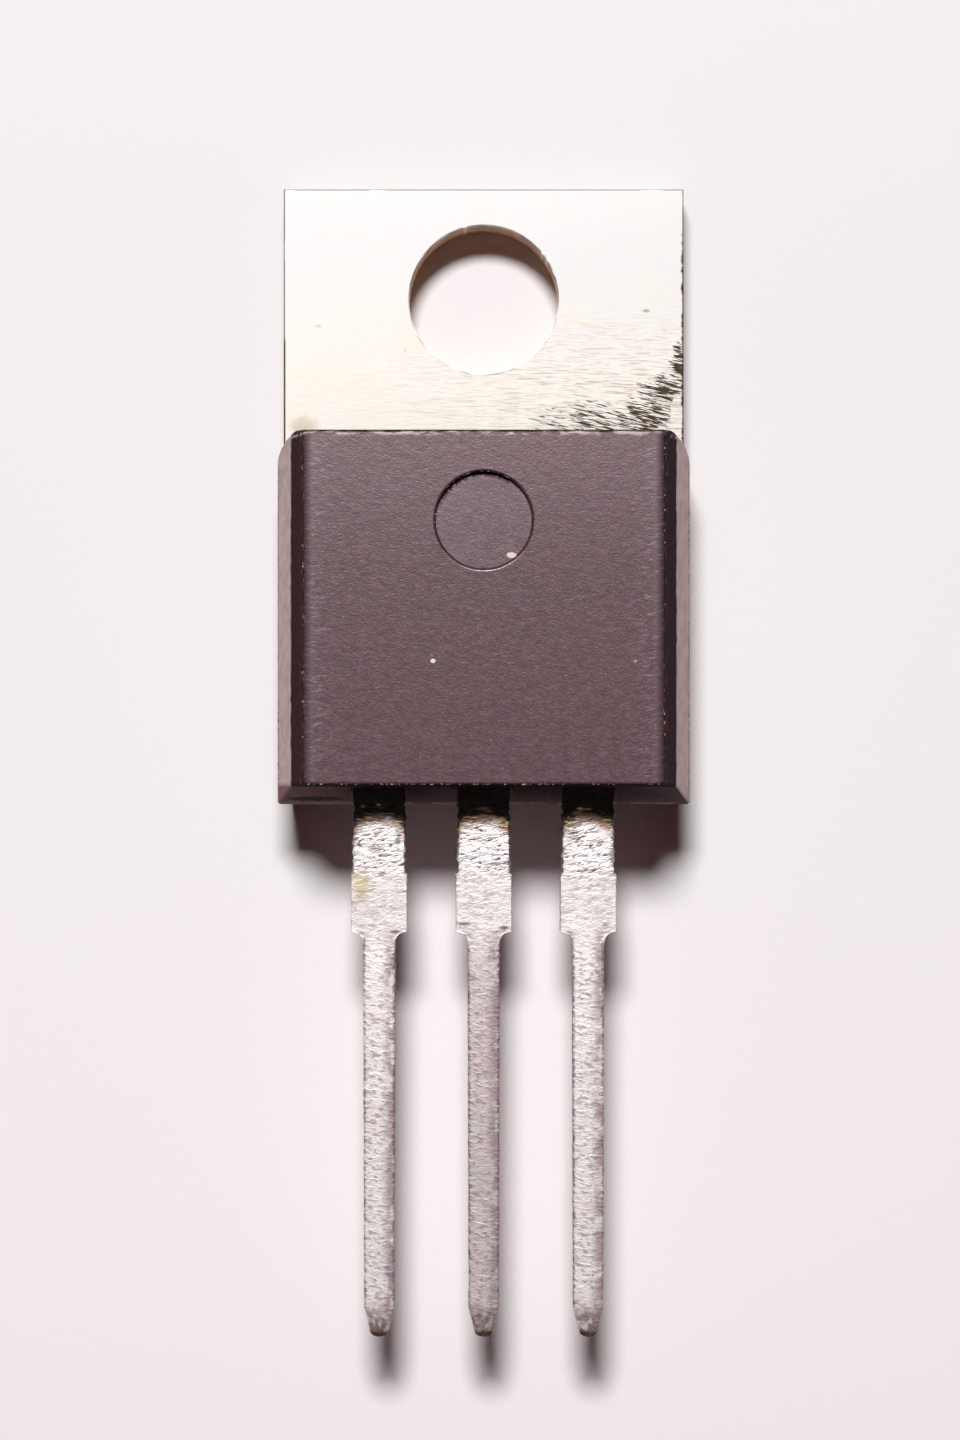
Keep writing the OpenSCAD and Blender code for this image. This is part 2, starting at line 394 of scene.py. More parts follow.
# Finishes


@dataclass
class Weave:
    """A node tree with the few steps that every look is made of.

    Attributes:
        tree: The node tree.
    """

    tree: NodeTree

    def ramp(
        self, value: Socket, low: float, high: float, to_low: float = 0.0, to_high: float = 1.0
    ) -> Socket:
        """Maps a value smoothly from one range to another and keeps it there."""
        made = add_node(
            self.tree, "ShaderNodeMapRange", {"interpolation_type": "SMOOTHSTEP"},
            {"From Min": low, "From Max": high, "To Min": to_low, "To Max": to_high}, {"Value": value},
        )
        return made.outputs["Result"]

    def combine(self, how: str, first: Socket, second: Socket | float) -> Socket:
        """Joins two values by a sum, product or the like, kept between 0 and 1."""
        made = add_node(self.tree, "ShaderNodeMath", {"operation": how, "use_clamp": True}, None, {0: first})
        if isinstance(second, float):
            made.inputs[1].default_value = second
        else:
            self.tree.links.new(second, made.inputs[1])
        return made.outputs[0]

    def times(self, *masks: Socket | float) -> Socket:
        """Multiplies masks, of which the first is a socket."""
        return reduce(partial(self.combine, "MULTIPLY"), masks)

    def highest(self, *masks: Socket) -> Socket:
        """Takes the strongest of some masks at each place."""
        return reduce(partial(self.combine, "MAXIMUM"), masks)

    def tint(self, share: Socket, under: Socket | str, over: str) -> Socket:
        """Lays a colour over another by a share.

        Args:
            share: How much of the upper colour shows.
            under: The lower colour, as a socket or hex.
            over: The upper colour, as hex.

        Returns:
            The mixed colour.
        """
        plain = {MIX_OVER: linear(over)}
        joined = {0: share}
        if isinstance(under, str):
            plain[MIX_UNDER] = linear(under)
        else:
            joined[MIX_UNDER] = under
        made = add_node(self.tree, "ShaderNodeMix", {"data_type": "RGBA"}, plain, joined)
        return made.outputs[MIX_RESULT]


@dataclass
class Coat(Weave):
    """A material as its colours are laid up, one over the other.

    Attributes:
        tree: The material's tree.
        material: The material.
        colour: The colour so far, as a socket or hex.
    """

    material: Material
    colour: Socket | str

    @cached_property
    def place(self) -> Socket:
        """The place on the object as a vector in millimetres."""
        at = add_node(self.tree, "ShaderNodeTexCoord").outputs["Object"]
        return add_node(
            self.tree, "ShaderNodeVectorMath", {"operation": "SCALE"}, {"Scale": 1 / MM}, {0: at}
        ).outputs[0]

    @cached_property
    def axes(self) -> tuple[Socket, ...]:
        """X, y and z of the place."""
        return tuple(add_node(self.tree, "ShaderNodeSeparateXYZ", None, None, {0: self.place}).outputs)

    @cached_property
    def facing(self) -> tuple[Socket, ...]:
        """How far the surface faces along x, y and z."""
        normal = add_node(self.tree, "ShaderNodeNewGeometry").outputs["Normal"]
        parts = add_node(self.tree, "ShaderNodeSeparateXYZ", None, None, {0: normal})
        return tuple(parts.outputs)

    def size_of(self, value: Socket) -> Socket:
        """Gives how far a value lies from 0, to either side."""
        return add_node(self.tree, "ShaderNodeMath", {"operation": "ABSOLUTE"}, None, {0: value}).outputs[0]

    def lean(self, part: Socket, share: float, whole: Socket | float) -> Socket:
        """Adds a share of one value to another, which is a socket or a number."""
        plain, joined = {1: share}, {0: part}
        (plain if isinstance(whole, float) else joined)[2] = whole
        return add_node(
            self.tree, "ShaderNodeMath", {"operation": "MULTIPLY_ADD"}, plain, joined
        ).outputs[0]

    def grain(
        self, size: tuple[float, float, float], detail: float = 3.0, turn: float = 0.0, warp: float = 0.0
    ) -> Socket:
        """Adds noise of a given grain.

        Args:
            size: Length of a grain along x, y and z, in millimetres.
            detail: How many finer layers lie in it.
            turn: Turn about z in degrees.
            warp: How far the noise bends itself.

        Returns:
            A value around 0.5.
        """
        turned = add_node(
            self.tree, "ShaderNodeMapping", {"vector_type": "POINT"},
            {"Rotation": (0, 0, math.radians(turn))}, {"Vector": self.place},
        )
        shaped = add_node(
            self.tree, "ShaderNodeVectorMath", {"operation": "DIVIDE"}, {1: size}, {0: turned.outputs[0]}
        )
        made = add_node(
            self.tree, "ShaderNodeTexNoise", None, {"Scale": 1.0, "Detail": detail, "Distortion": warp},
            {"Vector": shaped.outputs[0]},
        )
        return made.outputs["Fac"]

    def spot(self, centre: tuple[float, float], radii: tuple[float, float], soft: float) -> Socket:
        """Masks an uneven patch seen from above.

        Args:
            centre: Its middle in x and y.
            radii: Its half sizes in x and y.
            soft: Share of its size over which it fades.

        Returns:
            1 inside the patch, 0 outside.
        """
        least = min(radii)
        rough = add_node(
            self.tree, "ShaderNodeTexNoise", None, {"Scale": 1.5 / least, "Detail": 3.0},
            {"Vector": self.place},
        )
        steps = (
            ("SUBTRACT", (0.5, 0.5, 0.5), {}),
            ("MULTIPLY_ADD", (least, least, least), {2: self.place}),
            ("SUBTRACT", (*centre, 0), {}),
            ("MULTIPLY", (1 / radii[0], 1 / radii[1], 0), {}),
        )
        at = rough.outputs["Color"]
        for how, by, links in steps:
            at = add_node(
                self.tree, "ShaderNodeVectorMath", {"operation": how}, {1: by}, {0: at, **links}
            ).outputs[0]
        reach = add_node(self.tree, "ShaderNodeVectorMath", {"operation": "LENGTH"}, None, {0: at})
        return self.ramp(reach.outputs["Value"], 1.0, 1.0 - soft)

    def relief(self, *layers: tuple[Socket, float]) -> Socket:
        """Adds bumps, each a height and its real depth in millimetres, and gives the normal."""
        normal = {}
        for height, depth in layers:
            bump = add_node(
                self.tree, "ShaderNodeBump", None, {"Strength": 1.0, "Distance": depth * MM},
                {"Height": height, **normal},
            )
            normal = {"Normal": bump.outputs["Normal"]}
        return normal["Normal"]

    def lay(self, over: str, *masks: Socket | float) -> None:
        """Lays a colour over the rest by the product of some masks."""
        self.colour = self.tint(self.times(*masks), self.colour, over)

    def dab(self, soft: float, *dabs: tuple) -> None:
        """Lays uneven patches.

        Args:
            soft: Share of a patch's size over which it fades.
            dabs: For each patch its centre, its half sizes, its share and its colour.
        """
        for centre, radii, share, over in dabs:
            self.lay(over, self.spot(centre, radii, soft), share)

    def seal(self, links: dict[str, Socket]) -> Material:
        """Links the colour and other values to the shader and gives the material."""
        shader = self.tree.nodes["Principled BSDF"]
        for name, socket in {"Base Color": self.colour, **links}.items():
            self.tree.links.new(socket, shader.inputs[name])
        return self.material


@dataclass(frozen=True)
class Finish:
    """What every finish has.

    Attributes:
        name: The material's name.
        roughness: Its plain roughness.
        metallic: 1 for bare metal, 0 for plastic.
        ior: Index of refraction.
    """

    name: str
    roughness: float
    metallic: float = 0.0
    ior: float = 1.5

    def start(self, colour: str, values: dict | None = None) -> Coat:
        """Makes the material with its shader.

        Args:
            colour: The lowest colour.
            values: Plain values of other shader inputs, by name.

        Returns:
            The coat that its other colours are laid on.
        """
        material = bpy.data.materials.new(self.name)
        material.use_nodes = True
        shader = material.node_tree.nodes["Principled BSDF"]
        plain = {"Roughness": self.roughness, "Metallic": self.metallic, "IOR": self.ior}
        for key, value in {**plain, **(values or {})}.items():
            shader.inputs[key].default_value = value
        return Coat(material.node_tree, material, colour)


@dataclass(frozen=True)
class BrushedTin(Finish):
    """Tin plate over stamped copper, brushed across: a cream sheen with fine lines.

    Bare copper shows brown where the strip was punched, and one corner is scuffed to dark streaks.
    """

    plate: str = "#bebcbc"
    cream: str = "#cac5bf"
    line: str = "#a0978d"
    copper: str = "#efd3bd"
    sheared: str = "#8f7c6e"
    scuff: str = "#43372f"
    stain: str = "#a2967c"
    torn: str = "#54402f"
    nick: str = "#fbf3e6"
    half_w: float = 4.95
    top_z: float = 1.27

    def scuffs(self, coat: Coat) -> tuple[Socket, Socket]:
        """Masks the scuffed corner.

        Args:
            coat: The coat.

        Returns:
            How worn a place is, and the dark streaks themselves.
        """
        wing = coat.times(coat.spot((2.9, -2.95), (2.2, 0.6), 0.9), 0.72)
        rubbed = coat.highest(
            coat.spot((4.86, -1.6), (0.34, 0.75), 0.8), coat.spot((4.45, -2.2), (0.75, 0.5), 0.8),
            coat.spot((4.05, -2.85), (0.95, 0.6), 0.8), wing,
        )
        worn = coat.combine("SUBTRACT", rubbed, coat.spot((4.84, -2.9), (0.28, 0.7), 0.5))
        level = coat.lean(worn, 0.2, coat.grain((0.32, 0.03, 0.5), 1.5, 13.0, 0.5))
        return worn, coat.times(coat.ramp(level, 0.6, 0.68), coat.ramp(worn, 0.02, 0.15))

    def marks(self, coat: Coat, lines: Socket) -> None:
        """Lays the brushed lines and the small stains over the plate's colour."""
        x, y, _ = coat.axes
        rubbed = coat.times(coat.ramp(x, -4.0, 3.6, 0.15, 1.0), coat.ramp(y, 0.4, -2.6, 0.06, 1.0))
        coat.lay(self.cream, coat.ramp(y, 1.5, -2.5))
        coat.lay(self.line, coat.ramp(lines, 0.5, 0.66), rubbed)
        coat.lay("#c6bdb0", coat.ramp(coat.grain((1.2, 0.6, 1.0)), 0.45, 0.7, 0.0, 0.22))
        coat.dab(
            0.8,
            ((-4.45, -3.15), (0.5, 0.33), 0.6, self.stain),
            ((3.62, -2.38), (0.09, 0.07), 0.6, "#c58a4e"),
            ((4.02, -0.27), (0.13, 0.06), 0.75, "#7d6f68"),
            ((4.48, -0.75), (0.07, 0.1), 0.5, "#b0a59a"),
            ((2.65, -0.54), (0.42, 0.05), 0.45, "#d8c398"),
            ((-4.1, -0.65), (0.12, 0.07), 0.6, "#a8a196"),
            ((-1.95, -1.25), (0.06, 0.06), 0.7, "#b8ad92"),
        )

    def edges(self, coat: Coat) -> None:
        """Browns the long upper edges, the left one plain and the right one jagged."""
        x, y, _ = coat.axes
        left = coat.times(
            coat.ramp(x, 0.06 - self.half_w, 0.03 - self.half_w), coat.ramp(y, -0.85, -1.05, 0.1, 0.9)
        )
        rough_edge = coat.grain((0.5, 0.2, 5.0), 5.0, 0.0, 0.5)
        right = coat.times(
            coat.ramp(coat.lean(rough_edge, 0.12, x), self.half_w - 0.01, self.half_w + 0.03),
            coat.ramp(rough_edge, 0.4, 0.6, 0.4, 1.0), coat.ramp(y, 2.4, 0.6),
        )
        coat.lay(self.torn, coat.highest(left, right))

    def punched(self, coat: Coat) -> Socket:
        """Lays bare copper on the punched walls and in the hole, and gives the walls' mask."""
        _, y, z = coat.axes
        walls = coat.times(
            coat.ramp(coat.size_of(coat.facing[2]), 0.6, 0.3),
            coat.ramp(z, self.top_z - 0.05, self.top_z - 0.12),
            coat.ramp(coat.grain((0.5, 0.5, 0.25)), 0.3, 0.5, 0.6, 1.0),
        )
        coat.lay(self.sheared, walls)
        flat = add_node(
            coat.tree, "ShaderNodeVectorMath", {"operation": "MULTIPLY"}, {1: (1, 1, 0)}, {0: coat.place}
        )
        radius = add_node(
            coat.tree, "ShaderNodeVectorMath", {"operation": "LENGTH"}, None, {0: flat.outputs[0]}
        )
        bore = coat.times(walls, coat.ramp(radius.outputs["Value"], 2.2, 2.0))
        coat.lay(self.copper, bore)
        coat.lay("#8f6a4c", bore, coat.ramp(coat.grain((0.3, 0.3, 0.3), 4.0), 0.4, 0.62, 0.0, 0.35))
        coat.lay("#7d6150", bore, coat.ramp(y, 0.2, -0.7, 0.0, 0.45))
        return walls

    def build(self) -> Material:
        """Makes the material."""
        coat = self.start(self.plate)
        lines = coat.grain((0.4, 0.02, 0.5), 1.5, 1.5, 0.25)
        self.marks(coat, lines)
        worn, streaks = self.scuffs(coat)
        coat.lay(self.scuff, streaks)
        self.edges(coat)
        walls = self.punched(coat)
        nicks = (((-0.46, 1.79), (0.06, 0.14)), ((1.57, 0.98), (0.12, 0.08)), ((1.45, 1.15), (0.05, 0.05)))
        for centre, radii in nicks:
            coat.lay(self.nick, coat.spot(centre, radii, 0.6))
        ploughed = coat.times(coat.grain((0.22, 0.024, 0.5), 1.5, 11.0, 0.5), worn)
        return coat.seal({
            "Roughness": coat.lean(walls, 0.25, self.roughness),
            "Normal": coat.relief((lines, 0.0006), (ploughed, 0.012)),
        })


@dataclass(frozen=True)
class SolderDip(Finish):
    """Dipped solder on copper leads: a bright, crackled skin, grey and grainy where it thins.

    A frosty oxide scatters part of the light, so the skin stays pale where it turns from the lamp.
    The cut tips show brown copper. Where the leads leave the moulding the metal is painted near-black as
    painted shade, with painted glints, and is browner along the arched edge where that shade ends.
    """

    solder: str = "#fcf4f3"
    thin: str = "#b3a8a6"
    grey: str = "#a08a8f"
    crack: str = "#5d5152"
    # Painted shade along the thin leads' rounded long edges.
    rim: str = "#70535a"
    # Brown band along the arched edge where the moulding's shadow on the leads ends.
    root_brown: str = "#8a6d58"
    # Painted shade: near-black where the moulding's shadow falls on the leads.
    painted_root_shade: str = "#1d1411"
    glint: str = "#b59a72"
    browned: str = "#8a6d69"
    copper: str = "#5f3f30"
    tip_y: float = -25.4
    exit_y: float = -12.46
    stub_y: float = -15.54

    def roots(self, coat: Coat, across: Socket) -> None:
        """Lays a brown band, the painted shade and its painted glints where the leads leave the moulding."""
        squared = add_node(
            coat.tree, "ShaderNodeMath", {"operation": "MULTIPLY"}, None, {0: across, 1: across}
        )
        bowed = coat.lean(squared.outputs[0], 1.0, coat.axes[1])
        # Brown band along the arched edge where the moulding's shadow ends.
        coat.lay(
            self.root_brown, coat.ramp(bowed, self.exit_y - 0.56, self.exit_y - 0.3),
            coat.ramp(coat.grain((0.3, 0.2, 0.3)), 0.4, 0.6, 0.5, 1.0),
        )
        # Painted shade where the moulding's shadow falls on the leads.
        coat.lay(self.painted_root_shade, coat.ramp(bowed, self.exit_y - 0.32, self.exit_y - 0.14, 0.0, 0.95))
        coat.lay(
            self.glint, coat.ramp(bowed, self.exit_y - 0.32, self.exit_y - 0.24),
            coat.ramp(bowed, self.exit_y - 0.02, self.exit_y - 0.1),
            coat.ramp(coat.grain((0.35, 0.05, 0.2), 3.0, 3.0, 0.5), 0.52, 0.6),
        )

    def build(self) -> Material:
        """Makes the material."""
        coat = self.start(self.solder)
        x, along, _ = coat.axes
        across = add_node(
            coat.tree, "ShaderNodeMath", {"operation": "WRAP"}, {1: 1.27, 2: -1.27}, {0: x}
        ).outputs[0]
        ripple = coat.grain((0.2, 0.075, 0.2), 3.0, -14.0, 0.9)
        fine = coat.grain((0.06, 0.04, 0.08), 2.0, 20.0)
        coarse = coat.grain((0.18, 0.085, 0.18), 3.0, 12.0, 0.7)
        stub = coat.ramp(along, self.stub_y - 1.2, self.stub_y + 1.2)
        mottle = coat.ramp(coat.grain((0.3, 0.9, 0.3), 3.0), 0.4, 0.62)
        torn = coat.ramp(along, -14.4, -13.9, 0.3, 1.0)
        rough_part = coat.times(coat.ramp(stub, 0.0, 1.0, 0.5, 1.0), torn)
        coat.lay(self.thin, coat.ramp(stub, 0.0, 1.0, 0.0, 0.3))
        coat.lay(self.grey, coat.ramp(along, -15.5, -19.0, 0.0, 0.25), mottle)
        outer = coat.ramp(coat.size_of(x), 1.3, 1.2, 0.0, 0.45)
        coat.lay(self.grey, outer, coat.ramp(along, -15.2, -16.5))
        coat.lay(
            self.grey, coat.ramp(across, 0.0, 0.32, 0.0, 0.85),
            coat.ramp(coat.grain((0.35, 0.5, 0.3), 4.0), 0.4, 0.55, 0.2, 1.0),
            coat.ramp(along, -15.3, -16.2),
        )
        coat.lay(self.grey, coat.ramp(coarse, 0.52, 0.64, 0.0, 0.6), coat.ramp(stub, 0.0, 1.0, 1.0, 0.3))
        coat.lay(self.grey, coat.ramp(fine, 0.55, 0.7, 0.0, 0.35))
        coat.lay(self.crack, coat.ramp(ripple, 0.46, 0.34), rough_part)
        # Painted shade along both long edges of the thin leads.
        coat.lay(
            self.rim, coat.ramp(coat.size_of(across), 0.29, 0.37, 0.0, 0.85),
            coat.ramp(along, -15.6, -16.0), coat.ramp(coarse, 0.4, 0.56, 0.3, 1.0),
        )
        self.roots(coat, across)
        coat.dab(
            0.8,
            # The first three patches are painted glints where the leads leave the moulding.
            ((-2.94, -12.5), (0.09, 0.05), 0.8, "#d9a79b"),
            ((-2.55, -12.46), (0.08, 0.05), 0.9, "#e6ddd0"),
            ((2.34, -12.56), (0.1, 0.05), 1.0, "#fff1e2"),
            ((-2.97, -14.45), (0.34, 0.6), 0.8, "#c9bd97"),
            ((-2.08, -13.3), (0.1, 0.25), 0.6, "#4f4442"),
            ((-2.6, -13.55), (0.3, 0.12), 0.7, "#6a5f60"),
            ((-2.9, -15.75), (0.05, 0.12), 0.7, "#5a4a44"),
            ((-2.15, -15.55), (0.16, 0.08), 0.7, "#5a4a44"),
            ((-0.48, -15.35), (0.26, 0.07), 0.8, "#4d3f3f"),
            ((0.5, -15.45), (0.2, 0.09), 0.8, "#4d3f3f"),
            ((0.3, -13.9), (0.4, 0.06), 0.6, "#5d5152"),
            ((2.1, -15.7), (0.13, 0.3), 0.65, "#7a6c60"),
            ((2.2, -13.2), (0.25, 0.3), 0.55, "#6f6260"),
            ((2.95, -15.4), (0.12, 0.1), 0.6, "#7a6c60"),
        )
        coat.lay(
            self.browned, coat.ramp(along, self.tip_y + 1.1, self.tip_y + 0.2, 0.0, 0.85),
            coat.ramp(coat.grain((0.12, 0.2, 0.12), 3.0), 0.38, 0.58, 0.1, 1.0),
        )
        coat.lay(self.copper, coat.ramp(along, self.tip_y + 0.2, self.tip_y + 0.08), 0.95)
        pitted = coat.times(coarse, coat.ramp(stub, 0.2, 0.9, 1.0, 0.45))
        return coat.seal({
            "Roughness": coat.ramp(mottle, 0.0, 1.0, self.roughness - 0.02, self.roughness + 0.06),
            "Metallic": coat.ramp(coarse, 0.4, 0.6, 0.5, 0.75),
            "Normal": coat.relief((coat.times(ripple, rough_part), 0.026), (pitted, 0.009), (fine, 0.002)),
        })


@dataclass(frozen=True)
class MouldingCompound(Finish):
    """Silica-filled epoxy from a spark-eroded mould: a dark purplish grey with a dull sheen.

    The block's steep sides are almost black, partly from a duller eroded finish and partly as painted shade.
    The top face is darkened towards its long edges as painted shade and laid lighter towards the tab end as a
    painted sheen. The side shoulders at the parting line carry a pale, chalky resin skin, and a painted
    shadow lies under the flash at the left of the lead end.
    """

    body: str = "#45272f"
    light: str = "#4b2d35"
    # Painted sheen: the top face is laid lighter towards the tab end, where the lamp's light falls.
    painted_sheen: str = "#644a51"
    # Dark tone of the steep sides, partly their duller finish and partly painted shade; also used for the
    # painted shade along the top face's long edges.
    sides: str = "#352026"
    pale: str = "#c6b0ae"
    filler: str = "#a99798"
    parting_z: float = 2.42
    shoulder_z: float = 3.2
    top_z: float = 4.5
    top_half: float = 4.3
    tab_end_y: float = -3.47
    dimple_r: float = 1.175
    dimple_y: float = -5.63

    def dimple(self, coat: Coat, coarse: Socket) -> Socket:
        """Lays the dimple's worn floor and its chipped rim, darkened on its upper side as painted shade, and
        gives the rim's mask.
        """
        middle = add_node(
            coat.tree, "ShaderNodeVectorMath", {"operation": "DISTANCE"},
            {1: (0, self.dimple_y, self.top_z)}, {0: coat.place},
        ).outputs["Value"]
        coat.lay(
            "#77666b", coat.ramp(middle, self.dimple_r + 0.01, self.dimple_r - 0.04),
            coat.ramp(coat.grain((0.3, 0.3, 0.3)), 0.3, 0.6, 0.05, 0.3),
        )
        # Chips and painted shade: the rim's upper-left part is darkened where its shadow falls.
        chipped_rim_shade = coat.times(
            coat.ramp(middle, self.dimple_r - 0.2, self.dimple_r - 0.03),
            coat.ramp(middle, self.dimple_r + 0.06, self.dimple_r + 0.01),
            coat.spot((-0.25, self.dimple_y + 0.95), (1.5, 1.0), 0.5),
            coat.ramp(coarse, 0.42, 0.52, 0.2, 1.0),
        )
        coat.lay("#20120f", chipped_rim_shade)
        return chipped_rim_shade

    def shoulders(self, coat: Coat, wave: Socket) -> Socket:
        """Lays the chalky skin and the mould's seam on the shoulders, and painted light on the left part of
        the lead end, and gives the skin's mask.
        """
        x, along, height = coat.axes
        drift = coat.lean(wave, 0.1, -0.05)
        level = add_node(
            coat.tree, "ShaderNodeMath", {"operation": "ADD"}, None, {0: height, 1: drift}
        ).outputs[0]
        under = coat.ramp(level, self.shoulder_z + 0.02, self.shoulder_z - 0.05)
        above = coat.ramp(level, self.parting_z - 1.4, self.parting_z - 0.05, 0.1, 1.0)
        skin = coat.times(under, above, coat.ramp(coat.size_of(coat.facing[0]), 0.3, 0.6, 0.05, 1.0))
        coat.lay(self.pale, skin, coat.ramp(coat.grain((0.18, 0.3, 0.2), 3.0), 0.3, 0.65, 0.8, 1.0))
        # Painted light: the lead end's sloping face is laid lighter brown towards its left.
        coat.lay(
            "#7d6060", under, coat.ramp(along, -11.9, -12.05), coat.ramp(x, -2.0, -4.2, 0.12, 1.0), above
        )
        out = coat.size_of(x)
        coat.lay(
            "#a99290", coat.ramp(out, self.top_half - 0.04, self.top_half),
            coat.ramp(out, self.top_half + 0.16, self.top_half + 0.06),
            coat.ramp(coat.grain((0.06, 0.2, 0.06), 4.0), 0.58, 0.7, 0.0, 0.5),
        )
        coat.lay(
            "#a58f8d", coat.ramp(height, self.parting_z - 0.06, self.parting_z - 0.01),
            coat.ramp(height, self.parting_z + 0.12, self.parting_z + 0.04),
            coat.ramp(wave, 0.35, 0.6, 0.2, 0.85),
        )
        return skin

    def tab_edge(self, coat: Coat, wave: Socket) -> Socket:
        """Lays the pale sill and the dark rim of the block's tab end, and gives the rim's mask."""
        ragged = coat.lean(wave, 0.07, coat.axes[1])
        coat.lay(
            "#cdbfbc", coat.ramp(ragged, self.tab_end_y - 0.12, self.tab_end_y - 0.05),
            coat.ramp(coat.grain((0.35, 0.12, 0.3), 3.0), 0.45, 0.58, 0.0, 0.8),
        )
        rim = coat.ramp(ragged, self.tab_end_y - 0.035, self.tab_end_y)
        coat.lay("#2b1a14", rim, 0.85)
        return rim

    def build(self) -> Material:
        """Makes the material."""
        coat = self.start(self.body, {"Specular Tint": linear("#fff2f2")})
        cloud = coat.grain((0.3, 0.2, 0.3), 5.0)
        fine = coat.grain((0.05, 0.042, 0.05), 2.0)
        coarse = coat.grain((0.13, 0.09, 0.13), 3.0, 20.0, 0.4)
        wave = coat.grain((0.5, 0.35, 5.0), 3.0)
        out = coat.size_of(coat.axes[0])
        coat.lay(self.light, coat.ramp(cloud, 0.35, 0.7))
        # Painted sheen: the top face gets lighter towards the tab end.
        coat.lay(self.painted_sheen, coat.ramp(coat.axes[1], -7.0, -3.5, 0.0, 0.55))
        chipped_rim_shade = self.dimple(coat, coarse)
        coat.lay("#6c4f58", coat.ramp(coarse, 0.5, 0.7, 0.0, 0.3))
        coat.lay("#2c171d", coat.ramp(coarse, 0.46, 0.32, 0.0, 0.35))
        coat.lay("#7a6268", coat.ramp(fine, 0.52, 0.72, 0.0, 0.4))
        coat.lay(
            "#8d787e", coat.ramp(out, self.top_half - 1.0, self.top_half - 0.25),
            coat.ramp(coat.grain((0.22, 0.045, 0.2), 2.0, -8.0, 0.5), 0.54, 0.68, 0.0, 0.6),
        )
        # Painted shade: the top face darkens towards its long edges.
        turned = coat.ramp(out, self.top_half - 0.32, self.top_half - 0.02, 0.0, 0.68)
        coat.lay(self.sides, turned)
        # Steep faces get darker, partly for a duller eroded finish and partly as painted shade.
        steep = coat.ramp(coat.facing[2], 0.62, 0.45)
        coat.lay(self.sides, steep, coat.ramp(fine, 0.35, 0.7, 1.0, 0.8))
        skin = self.shoulders(coat, wave)
        rim = self.tab_edge(coat, wave)
        coat.dab(
            0.4,
            ((-1.21, -8.99), (0.075, 0.06), 1.0, "#e8dcda"),
            ((-1.24, -8.86), (0.04, 0.05), 0.8, "#8d6a5c"),
            ((0.66, -6.46), (0.14, 0.08), 1.0, "#dccbc4"),
            ((3.62, -9.0), (0.05, 0.04), 0.7, "#b09c9c"),
            ((-3.95, -4.2), (0.08, 0.04), 0.5, "#9a8587"),
            ((-2.2, -9.7), (0.09, 0.05), 0.6, "#241818"),
            # Painted shadow: a near-black sliver under the flash lip at the left of the lead end.
            ((-4.12, -12.32), (0.84, 0.075), 1.0, "#0d0707"),
        )
        cells = add_node(
            coat.tree, "ShaderNodeTexVoronoi", {"feature": "F1"}, {"Scale": 2.4}, {"Vector": coat.place}
        )
        coat.lay(self.filler, coat.ramp(cells.outputs["Distance"], 0.07, 0.03, 0.0, 0.35))
        rough = coat.ramp(cloud, 0.3, 0.7, self.roughness - 0.01, self.roughness + 0.02)
        dull = coat.highest(skin, steep, rim, turned, chipped_rim_shade)
        return coat.seal({
            "Roughness": coat.lean(dull, 0.35, rough),
            "Specular IOR Level": coat.ramp(dull, 0.0, 1.0, 1.0, 0.012),
            "Normal": coat.relief((fine, 0.0035), (coarse, 0.004)),
        })


@dataclass(frozen=True)
class Grained(Finish):
    """Two tones in one even grain, with a faint relief.

    Attributes:
        light: The paler tone.
        dark: The deeper tone.
        grain_mm: Length of a grain.
        spread: How far the grain's middle band reaches to either side of 0.5.
        depth: Depth of the relief.
    """

    light: str = "#d8d8da"
    dark: str = "#b0b0b4"
    grain_mm: float = 0.1
    spread: float = 0.15
    depth: float = 0.001

    def build(self) -> Material:
        """Makes the material."""
        coat = self.start(self.light)
        cloud = coat.grain((self.grain_mm,) * 3)
        coat.lay(self.dark, coat.ramp(cloud, 0.5 - self.spread, 0.5 + self.spread))
        return coat.seal({"Normal": coat.relief((cloud, self.depth))})


@dataclass(frozen=True)
class PaleCard(Finish):
    """Smooth card under the part: a pinkish white, painted darker towards the lamp and paler towards the lead
    tips, as painted shade that evens out the lamp's falloff.
    """

    # The card is painted darker near the lamp and paler away from it, as painted shade against the lamp's
    # falloff.
    near: str = "#e6e3e4"
    far: str = "#f5eff1"

    def build(self) -> Material:
        """Makes the material."""
        coat = self.start(self.near, {"Specular IOR Level": 0.1})
        # Painted shade against the lamp's falloff: paler towards the lead tips.
        coat.lay(self.far, coat.ramp(coat.axes[1], 8.0, -30.0))
        return coat.seal({"Normal": coat.relief((coat.grain((0.14, 0.14, 0.14)), 0.0025))})


# Pieces


